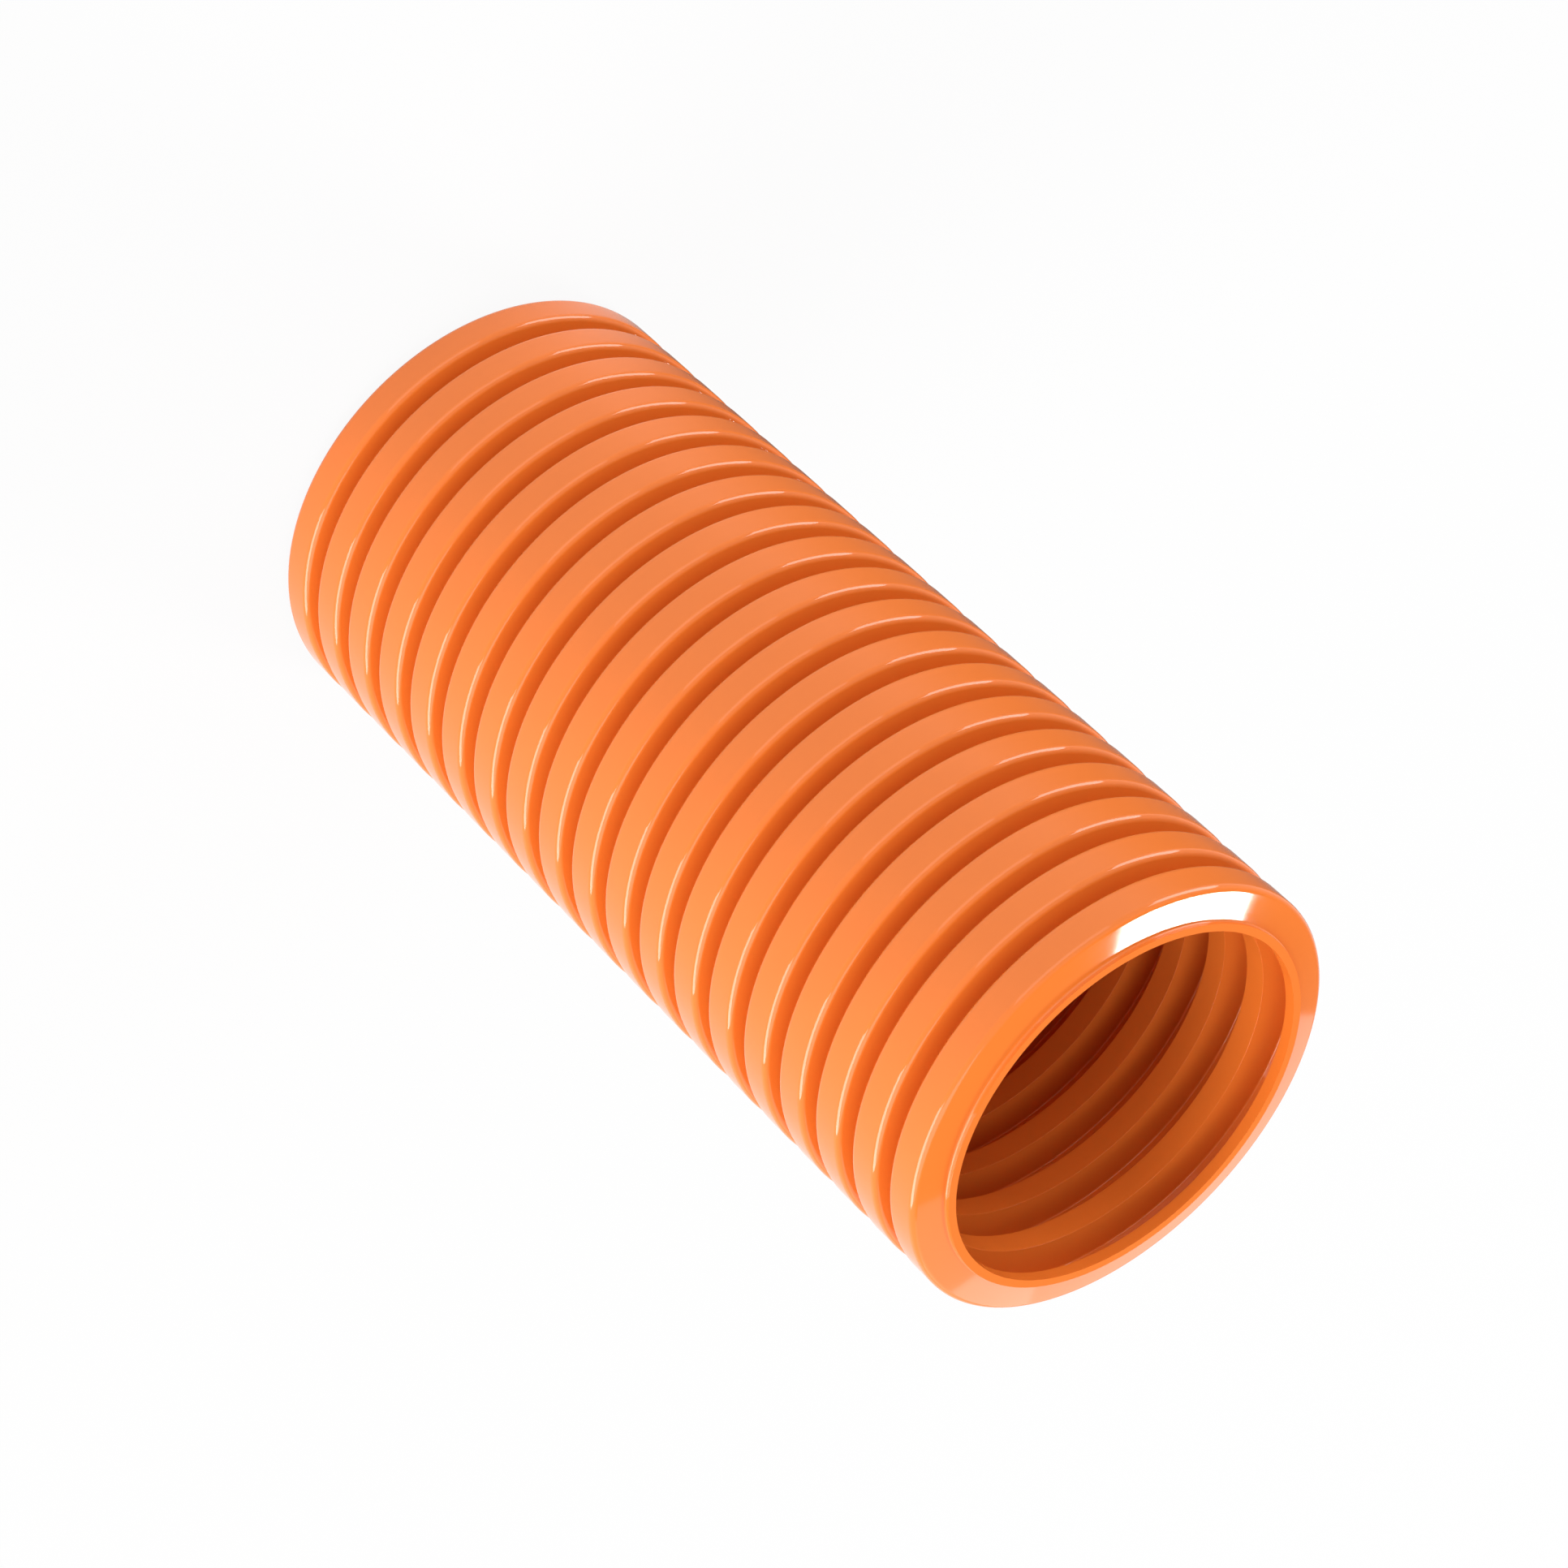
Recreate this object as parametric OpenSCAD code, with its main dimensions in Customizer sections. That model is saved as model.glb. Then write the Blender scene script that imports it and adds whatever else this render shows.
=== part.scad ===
// Corrugated cable conduit: one length of thin-walled flexible plastic tube,
// with closed rings pressed into its wall and both ends cut through a valley.
// The tube stands on end along Z, with the origin in the middle of its lower end.

/* [Tube] */
// Diameter over the crests
outside_d = 34.5; // [32:0.1:45]
// Depth of the valleys below the crests
valley_depth = 2.45; // [1.5:0.05:3]
// Thickness of the wall, the same all along the wave
wall_t = 0.6; // [0.4:0.05:0.8]

/* [Corrugation] */
// Number of crests in the cut length
crest_count = 19; // [2:1:60]
// Distance from one crest to the next
pitch = 4.06; // [3.9:0.02:6]
// Width of a crest, measured across its outside corners
crest_w = 2.6; // [2:0.05:2.7]
// Lean of a crest's flanks away from square to the axis
flank_lean = 9; // [0:0.5:10]

/* [Corners] */
// Radius on the outside corners of a crest
crest_corner_r = 0.5; // [0.1:0.05:0.7]
// Radius of the fillet where a flank meets a valley, outside
valley_fillet_r = 0.15; // [0.05:0.05:0.3]
// Radius of the fillet inside a crest
crest_fillet_r = 0.15; // [0.05:0.05:0.4]
// Radius on the inside corners of a valley
valley_corner_r = 0.05; // [0.05:0.05:0.4]

/* [Hidden] */

crest_r = outside_d / 2;
valley_r = crest_r - valley_depth;
bore_r = valley_r - wall_t;
tube_l = crest_count * pitch;
arc_steps = 4;

function unit(v) = v / norm(v);

// Half the width of a crest at radius r: on its outside, and inside its wall
function outer_half(r) = crest_w / 2 + (crest_r - r) * tan(flank_lean);
function inner_half(r) = outer_half(r) - wall_t / cos(flank_lean);

// The arc that rounds corner b to radius r, on the way from point a to point c
function arc(a, b, c, r) =
    let (
        back = unit(a - b),
        on = unit(c - b),
        half_angle = acos(back * on) / 2,
        centre = b + unit(back + on) * r / sin(half_angle),
        first = b + back * r / tan(half_angle) - centre,
        last = b + on * r / tan(half_angle) - centre,
        start = atan2(first.y, first.x),
        sweep = (atan2(last.y, last.x) - start + 540) % 360 - 180
    )
    [for (i = [0:arc_steps])
        centre + r * [cos(start + sweep * i / arc_steps), sin(start + sweep * i / arc_steps)]];

// An outline through corners of the form [radius from the axis, height, corner radius]
function outline(corners) =
    let (n = len(corners), place = [for (c = corners) [c.x, c.y]])
    [for (i = [0:n - 1]) each
        corners[i].z == 0
            ? [place[i]]
            : arc(place[(i + n - 1) % n], place[i], place[(i + 1) % n], corners[i].z)];

// One crest's wave on each side of the wall, around its middle
outside_wave = [
    [valley_r, -outer_half(valley_r), valley_fillet_r],
    [crest_r, -outer_half(crest_r), crest_corner_r],
    [crest_r, outer_half(crest_r), crest_corner_r],
    [valley_r, outer_half(valley_r), valley_fillet_r]
];
inside_wave = [
    [bore_r, -inner_half(bore_r), valley_corner_r],
    [crest_r - wall_t, -inner_half(crest_r - wall_t), crest_fillet_r],
    [crest_r - wall_t, inner_half(crest_r - wall_t), crest_fillet_r],
    [bore_r, inner_half(bore_r), valley_corner_r]
];

// The wave repeated up the tube, from its lower end to its upper end
function up_the_tube(wave) =
    [for (i = [0:crest_count - 1], c = wave) c + [0, (i + 0.5) * pitch, 0]];

function backwards(list) = [for (i = [len(list) - 1:-1:0]) list[i]];

module corrugated_tube() {
    wall = concat(
        [[valley_r, 0, 0]],
        up_the_tube(outside_wave),
        [[valley_r, tube_l, 0], [bore_r, tube_l, 0]],
        backwards(up_the_tube(inside_wave)),
        [[bore_r, 0, 0]]
    );
    color("#f57b35")
        rotate_extrude($fn = 144)
            polygon(outline(wall));
}

corrugated_tube();
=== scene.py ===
import math

import bmesh
import bpy
from mathutils import Matrix, Vector


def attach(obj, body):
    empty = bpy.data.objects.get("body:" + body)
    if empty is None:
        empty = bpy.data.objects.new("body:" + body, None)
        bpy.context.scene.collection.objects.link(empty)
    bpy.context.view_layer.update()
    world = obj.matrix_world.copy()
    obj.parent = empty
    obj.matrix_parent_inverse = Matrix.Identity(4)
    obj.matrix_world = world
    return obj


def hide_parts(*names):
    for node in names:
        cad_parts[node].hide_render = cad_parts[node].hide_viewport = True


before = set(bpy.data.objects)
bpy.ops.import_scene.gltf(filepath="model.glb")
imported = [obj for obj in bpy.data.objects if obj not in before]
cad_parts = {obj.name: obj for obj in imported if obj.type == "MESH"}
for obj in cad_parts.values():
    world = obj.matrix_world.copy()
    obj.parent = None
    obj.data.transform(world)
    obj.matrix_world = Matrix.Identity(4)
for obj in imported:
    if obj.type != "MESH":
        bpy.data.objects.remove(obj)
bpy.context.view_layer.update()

# ---------------------------------------------------------------------------
# The camera. The photo looks down into the upper end from one side, on a long
# lens, and is turned so that the tube runs from top left to bottom right.
# ---------------------------------------------------------------------------
MM = 0.001
lens = bpy.data.cameras.new("camera")
lens.sensor_width = 36
lens.lens = 125.15
lens.clip_start = 0.01
lens.clip_end = 20
camera = bpy.data.objects.new("camera", lens)
bpy.context.scene.collection.objects.link(camera)
camera.matrix_world = (
    Matrix.Translation(Vector((0.0034, -308.609, 263.575)) * MM)
    @ Matrix.Rotation(math.radians(90 - 36.0901), 4, "X")
    @ Matrix.Rotation(math.radians(133.360), 4, "Z")
)
bpy.context.scene.camera = camera

# ---------------------------------------------------------------------------
# The conduit: a thin tube of orange polypropylene, extruded soft and drawn
# by vacuum into a travelling chain of ringed moulds, then sawn to length
# through a valley. One piece, so every crest and valley is the same wall.
# ---------------------------------------------------------------------------
CREST_R = 17.25
VALLEY_R = 14.8
BORE_R = 14.2
CRESTS = 19
PITCH = 4.06
CREST_W = 2.6
LEAN = math.tan(math.radians(9))
WALL = (VALLEY_R - BORE_R) / math.cos(math.radians(9))


def wave(outside):
    """One crest's corners on one side of the wall: radius, height from its middle, corner radius."""
    if outside:
        top, foot, top_round, foot_round, inset = CREST_R, VALLEY_R, 0.5, 0.15, 0.0
    else:
        top, foot, top_round, foot_round, inset = CREST_R - 0.6, BORE_R, 0.15, 0.02, WALL
    half_top = CREST_W / 2 + (CREST_R - top) * LEAN - inset
    half_foot = CREST_W / 2 + (CREST_R - foot) * LEAN - inset
    return [
        (foot, -half_foot, foot_round),
        (top, -half_top, top_round),
        (top, half_top, top_round),
        (foot, half_foot, foot_round),
    ]


def rounded(before, corner, after, radius, steps):
    """The points of an arc of that radius which rounds a corner between its neighbours."""
    back = (before - corner).normalized()
    on = (after - corner).normalized()
    half = back.angle(on) / 2
    centre = corner + (back + on).normalized() * radius / math.sin(half)
    first = corner + back * radius / math.tan(half) - centre
    last = corner + on * radius / math.tan(half) - centre
    sweep = first.angle_signed(last)
    return [
        centre + Matrix.Rotation(-sweep * i / steps, 2) @ first for i in range(steps + 1)
    ]


def wall_section():
    """The cut wall's whole outline, up its outside and down its inside."""
    length = CRESTS * PITCH
    up = [
        (r, h + (i + 0.5) * PITCH, c) for i in range(CRESTS) for r, h, c in wave(True)
    ]
    down = [
        (r, h + (i + 0.5) * PITCH, c) for i in range(CRESTS) for r, h, c in wave(False)
    ][::-1]
    corners = [(VALLEY_R, 0, 0)] + up
    corners += [(VALLEY_R, length, 0), (BORE_R, length, 0)] + down + [(BORE_R, 0, 0)]
    points = []
    for i, (r, h, c) in enumerate(corners):
        here = Vector((r, h))
        if not c:
            points.append(here)
            continue
        before = Vector(corners[i - 1][:2])
        after = Vector(corners[(i + 1) % len(corners)][:2])
        points += rounded(before, here, after, c, 4 if i < 4 * CRESTS + 1 else 3)
    return points


def spun(name, section, turns):
    """A closed outline spun round the upright axis into a smooth mesh."""
    bm = bmesh.new()
    ring = [bm.verts.new((p.x * MM, 0, p.y * MM)) for p in section]
    edges = [bm.edges.new((a, b)) for a, b in zip(ring, ring[1:] + ring[:1])]
    bmesh.ops.spin(
        bm,
        geom=ring + edges,
        axis=(0, 0, 1),
        cent=(0, 0, 0),
        steps=turns,
        angle=math.tau,
        use_merge=True,
    )
    bmesh.ops.remove_doubles(bm, verts=bm.verts, dist=0.001 * MM)
    bmesh.ops.recalc_face_normals(bm, faces=bm.faces)
    for face in bm.faces:
        face.smooth = True
    for edge in bm.edges:
        cut = [f for f in edge.link_faces if abs(f.normal.z) > 0.999]
        if len(cut) == 1:
            edge.smooth = False
    mesh = bpy.data.meshes.new(name)
    bm.to_mesh(mesh)
    bm.free()
    return mesh


tube = bpy.data.objects.new(
    "conduit_wall", spun("conduit_wall", wall_section(), 144)
)
bpy.context.scene.collection.objects.link(tube)
normals = tube.modifiers.new("even_shading", "WEIGHTED_NORMAL")
normals.keep_sharp = True
normals.weight = 100


def linear(code):
    """A hex colour as linear red, green, blue and alpha."""
    parts = [int(code[i : i + 2], 16) / 255 for i in (0, 2, 4)]
    return [
        p / 12.92 if p <= 0.04045 else ((p + 0.055) / 1.055) ** 2.4 for p in parts
    ] + [1]


def node(material, kind, settings=None, **links):
    """Adds a node with its settings. A link's name is the input's, or input_N for its number."""
    made = material.node_tree.nodes.new(kind)
    for name, value in (settings or {}).items():
        if name in made.inputs:
            made.inputs[name].default_value = value
        else:
            setattr(made, name, value)
    for name, source in links.items():
        key = int(name[6:]) if name.startswith("input_") else name.replace("_", " ")
        material.node_tree.links.new(source, made.inputs[key])
    return made


# Polypropylene coloured in the mass, blown against polished mould blocks. The gloss
# is clean and the reflections sharp. The pigment is a touch uneven from flake to
# flake, and the skin follows the mould with a swell too faint to feel.
plastic = bpy.data.materials.new("moulded_orange_polypropylene")
plastic.use_nodes = True
shader = plastic.node_tree.nodes["Principled BSDF"]
shader.inputs["IOR"].default_value = 1.49
place = node(plastic, "ShaderNodeTexCoord").outputs["Object"]
PIGMENT_MM = 6.0
pigment = node(
    plastic,
    "ShaderNodeTexNoise",
    {"Scale": 1 / (PIGMENT_MM * MM), "Detail": 3.0, "Roughness": 0.6},
    Vector=place,
)
shade = node(
    plastic,
    "ShaderNodeMix",
    {"data_type": "RGBA"},
    Factor=pigment.outputs["Fac"],
)
shade.inputs[6].default_value = linear("de7129")
shade.inputs[7].default_value = linear("e2752c")
plastic.node_tree.links.new(shade.outputs[2], shader.inputs["Base Color"])
SKIN_MM = 1.6
skin = node(
    plastic,
    "ShaderNodeTexNoise",
    {"Scale": 1 / (SKIN_MM * MM), "Detail": 2.0, "Roughness": 0.5},
    Vector=place,
)
gloss = node(
    plastic,
    "ShaderNodeMapRange",
    {"To Min": 0.05, "To Max": 0.075},
    Value=skin.outputs["Fac"],
)
plastic.node_tree.links.new(gloss.outputs["Result"], shader.inputs["Roughness"])
swell = node(
    plastic,
    "ShaderNodeBump",
    {"Strength": 0.02, "Distance": 0.02 * MM},
    Height=pigment.outputs["Fac"],
)
plastic.node_tree.links.new(swell.outputs["Normal"], shader.inputs["Normal"])
tube.data.materials.append(plastic)
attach(tube, "root")
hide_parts("corrugated_tube")

# ---------------------------------------------------------------------------
# The studio: a white painted floor in a white room, and softboxes. The floor
# looks plain white to the camera, to gloss and to glass, under a light shadow.
# ---------------------------------------------------------------------------
floor_mesh = bpy.data.meshes.new("floor")
floor_mesh.from_pydata(
    [(-3, -3, 0), (3, -3, 0), (3, 3, 0), (-3, 3, 0)], [], [(0, 1, 2, 3)]
)
floor = bpy.data.objects.new("floor", floor_mesh)
bpy.context.scene.collection.objects.link(floor)
paint = bpy.data.materials.new("white_painted_floor")
paint.use_nodes = True
matt = paint.node_tree.nodes["Principled BSDF"]
matt.inputs["Base Color"].default_value = linear("c6c6c6")
matt.inputs["Roughness"].default_value = 0.9
PLAIN_WHITE = 0.93
ray = node(paint, "ShaderNodeLightPath").outputs
seen = node(
    paint,
    "ShaderNodeMath",
    {"operation": "MAXIMUM"},
    input_0=ray["Is Camera Ray"],
    input_1=ray["Is Glossy Ray"],
)
seen = node(
    paint,
    "ShaderNodeMath",
    {"operation": "MAXIMUM"},
    input_0=seen.outputs[0],
    input_1=ray["Is Transmission Ray"],
)
share = node(paint, "ShaderNodeMath", {"operation": "MULTIPLY"}, input_0=seen.outputs[0])
share.inputs[1].default_value = PLAIN_WHITE
glow = node(paint, "ShaderNodeEmission", {"Strength": 1.0})
coat = node(
    paint,
    "ShaderNodeMixShader",
    None,
    input_0=share.outputs[0],
    input_1=matt.outputs[0],
    input_2=glow.outputs[0],
)
paint.node_tree.links.new(
    coat.outputs[0], paint.node_tree.nodes["Material Output"].inputs["Surface"]
)
floor_mesh.materials.append(paint)

room = bpy.data.worlds.new("grey_room")
bpy.context.scene.world = room
room.use_nodes = True
walls = room.node_tree.nodes["Background"]
walls.inputs["Color"].default_value = (1, 1, 1, 1)
towards = node(room, "ShaderNodeTexCoord").outputs["Generated"]
behind = node(
    room, "ShaderNodeVectorMath", {"operation": "DOT_PRODUCT"}, input_0=towards
)
behind.inputs[1].default_value = (-0.09, 0.63, 0.77)
dim = node(
    room,
    "ShaderNodeMapRange",
    {
        "interpolation_type": "SMOOTHSTEP",
        "From Min": 0.55,
        "From Max": 0.95,
        "To Min": 0.76,
        "To Max": 0.14,
    },
    Value=behind.outputs["Value"],
)
room.node_tree.links.new(dim.outputs["Result"], walls.inputs["Strength"])

UPPER_END = Vector((0, 0, CRESTS * PITCH)) * MM


def softbox(name, bearing, height, away, size, radiance, turn=0):
    """A lamp that faces the tube: bearing and height in degrees, distance and size in metres."""
    lamp = bpy.data.lights.new(name, "AREA")
    lamp.shape = "RECTANGLE"
    lamp.size, lamp.size_y = size
    lamp.energy = radiance * size[0] * size[1] * math.pi
    box = bpy.data.objects.new(name, lamp)
    bpy.context.scene.collection.objects.link(box)
    facing = Vector(
        (
            math.cos(math.radians(height)) * math.cos(math.radians(bearing)),
            math.cos(math.radians(height)) * math.sin(math.radians(bearing)),
            math.sin(math.radians(height)),
        )
    )
    box.matrix_world = (
        Matrix.Translation(UPPER_END + facing * away)
        @ facing.to_track_quat("Z", "Y").to_matrix().to_4x4()
        @ Matrix.Rotation(math.radians(turn), 4, "Z")
    )
    return box


softbox("key_softbox", 103, 42, 1.2, (0.26, 0.29), 32, 17)
softbox("side_softbox", -5, 52, 1.2, (0.95, 0.95), 1.8)
softbox("low_softbox", -12, 12, 1.2, (1.1, 0.6), 7.4)
softbox("front_softbox", -115, 12, 1.2, (1.1, 0.8), 1.2)
softbox("left_softbox", -178, 8, 1.2, (0.7, 0.7), 5.4)
softbox("back_softbox", 86, 17, 1.2, (0.54, 0.44), 1.4)
softbox("far_softbox", 63, 27, 1.2, (0.7, 0.60), 0.8)

# A graded black card on the floor, seen by gloss alone, is painted shade in the reflections: it
# darkens the glare on the far side of the crests, though it casts no shadow and lights nothing. It
# fades out sideways.
CARD = 0.2
SHADE_BEARING = math.radians(143)
painted_shade_card_mesh = bpy.data.meshes.new("painted_shade_card")
painted_shade_card_mesh.from_pydata(
    [
        (-CARD, -CARD, 0.0005),
        (CARD, -CARD, 0.0005),
        (CARD, CARD, 0.0005),
        (-CARD, CARD, 0.0005),
    ],
    [],
    [(0, 1, 2, 3)],
)
painted_shade_card = bpy.data.objects.new("painted_shade_card", painted_shade_card_mesh)
bpy.context.scene.collection.objects.link(painted_shade_card)
for sees in ("camera", "diffuse", "shadow", "transmission"):
    setattr(painted_shade_card, "visible_" + sees, False)
# Its black is painted shade, seen only in the crests' reflections.
black = bpy.data.materials.new("graded_painted_shade")
black.use_nodes = True
card = black.node_tree.nodes["Principled BSDF"]
card.inputs["Base Color"].default_value = linear("161616")
card.inputs["Roughness"].default_value = 0.9
across = node(black, "ShaderNodeTexCoord").outputs["Object"]
level = node(
    black, "ShaderNodeVectorMath", {"operation": "MULTIPLY"}, input_0=across
)
level.inputs[1].default_value = (1, 1, 0)
outward = node(
    black,
    "ShaderNodeVectorMath",
    {"operation": "NORMALIZE"},
    input_0=level.outputs["Vector"],
)
toward = node(
    black,
    "ShaderNodeVectorMath",
    {"operation": "DOT_PRODUCT"},
    input_0=outward.outputs["Vector"],
)
toward.inputs[1].default_value = (math.cos(SHADE_BEARING), math.sin(SHADE_BEARING), 0)
grade = node(
    black,
    "ShaderNodeMapRange",
    {
        "interpolation_type": "SMOOTHSTEP",
        "From Min": 0.4,
        "From Max": 1.0,
        "To Min": 0.0,
        "To Max": 0.9,
    },
    Value=toward.outputs["Value"],
)
shade_fade = node(
    black,
    "ShaderNodeMixShader",
    None,
    input_0=grade.outputs["Result"],
    input_1=node(black, "ShaderNodeBsdfTransparent").outputs[0],
    input_2=card.outputs[0],
)
black.node_tree.links.new(
    shade_fade.outputs[0], black.node_tree.nodes["Material Output"].inputs["Surface"]
)
painted_shade_card_mesh.materials.append(black)

bpy.context.scene.view_settings.view_transform = "Standard"
